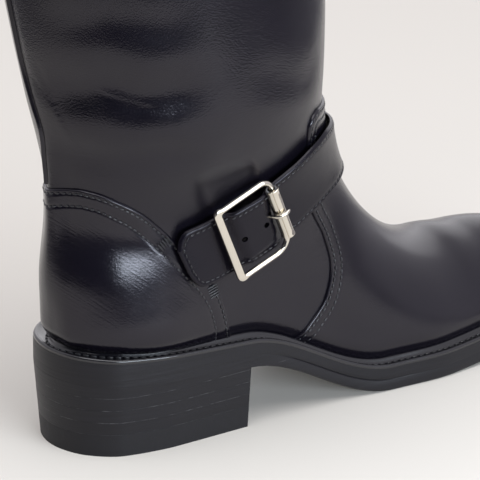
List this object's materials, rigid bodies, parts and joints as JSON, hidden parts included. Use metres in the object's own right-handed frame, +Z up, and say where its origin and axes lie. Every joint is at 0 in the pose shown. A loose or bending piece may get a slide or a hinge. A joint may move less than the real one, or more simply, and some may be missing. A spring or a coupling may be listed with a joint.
{
  "type": "tall boot",
  "caption": "Tall pull-on leather riding boot with a rounded toe, a stacked block heel, a stitched welt and a buckled strap over the instep.",
  "frame": {"origin": "floor point under the middle of the heel, on the underside of the top lift", "axes": "+X towards the toe, +Y towards the inner side of the foot, +Z up from the floor"},
  "size_m": [0.3106, 0.12, 0.372],
  "materials": {
    "boot_leather": "smooth black calf leather with a waxed gloss",
    "sole_edge": "satin charcoal edge paint on stacked leather",
    "top_lift_rubber": "matt black rubber",
    "insole_leather": "matt natural leather",
    "buckle_metal": "polished pale gold plating"
  },
  "bodies": {
    "root": {"outsole": "sole_edge", "welt": "sole_edge", "insole": "insole_leather", "top_lift": "top_lift_rubber", "heel_lift_1": "sole_edge", "heel_lift_2": "sole_edge", "heel_lift_3": "sole_edge", "heel_wedge": "sole_edge", "upper": "boot_leather", "vamp": "boot_leather", "counter": "boot_leather", "back_seam": "boot_leather", "strap": "boot_leather", "buckle_frame": "buckle_metal", "buckle_roller": "buckle_metal", "buckle_prong": "buckle_metal"}
  },
  "joints": []
}
